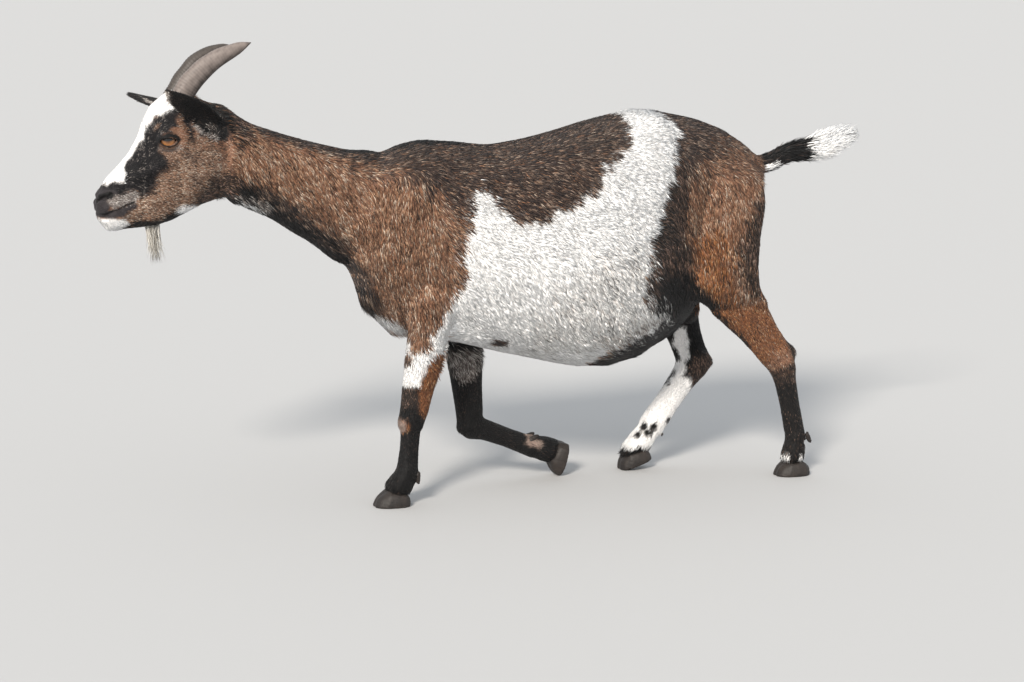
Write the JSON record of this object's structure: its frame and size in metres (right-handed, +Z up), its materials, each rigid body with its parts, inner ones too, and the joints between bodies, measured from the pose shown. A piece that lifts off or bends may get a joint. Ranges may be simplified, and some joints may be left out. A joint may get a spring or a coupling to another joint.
{
  "type": "goat",
  "caption": "Life-size still model of a walking horned doe goat, head held low and forward, tail raised, one forefoot folded back onto its toe.",
  "frame": {"origin": "centre of the bounding box's footprint, on the floor that the hooves stand on", "axes": "+Z up, -X the way the goat faces, -Y its left side"},
  "size_m": [1.3326, 0.331, 0.7642],
  "materials": {
    "coat": "short brown, white and black hair",
    "face": "very short hair, black and brown with a white blaze",
    "limb": "short orange-brown hair",
    "sock": "short black hair, white on the right hind leg",
    "ear": "thin black-haired skin",
    "tail": "long black hair with a white brush",
    "beard": "thin pale hair",
    "udder": "dark, finely haired skin",
    "horn": "ringed grey-brown horn",
    "hoof": "grey-brown horn",
    "eye": "wet amber iris with a level dark pupil"
  },
  "bodies": {
    "root": {"trunk": "coat", "neck": "coat", "head": "face", "tail": "tail", "beard": "beard", "udder": "udder", "eye_left": "eye", "eye_right": "eye", "horn_left": "horn", "horn_right": "horn", "ear_left": "ear", "ear_right": "ear", "foreleg_left_forearm": "limb", "foreleg_left_cannon": "sock", "foreleg_left_pastern": "sock", "foreleg_left_claw_outer": "hoof", "foreleg_left_claw_inner": "hoof", "foreleg_left_dewclaw_outer": "hoof", "foreleg_left_dewclaw_inner": "hoof", "foreleg_right_forearm": "limb", "foreleg_right_cannon": "sock", "foreleg_right_pastern": "sock", "foreleg_right_claw_outer": "hoof", "foreleg_right_claw_inner": "hoof", "foreleg_right_dewclaw_outer": "hoof", "foreleg_right_dewclaw_inner": "hoof", "hindleg_left_thigh": "limb", "hindleg_left_shank": "limb", "hindleg_left_cannon": "sock", "hindleg_left_pastern": "sock", "hindleg_left_claw_outer": "hoof", "hindleg_left_claw_inner": "hoof", "hindleg_left_dewclaw_outer": "hoof", "hindleg_left_dewclaw_inner": "hoof", "hindleg_right_thigh": "limb", "hindleg_right_shank": "limb", "hindleg_right_cannon": "sock", "hindleg_right_pastern": "sock", "hindleg_right_claw_outer": "hoof", "hindleg_right_claw_inner": "hoof", "hindleg_right_dewclaw_outer": "hoof", "hindleg_right_dewclaw_inner": "hoof"}
  },
  "joints": []
}
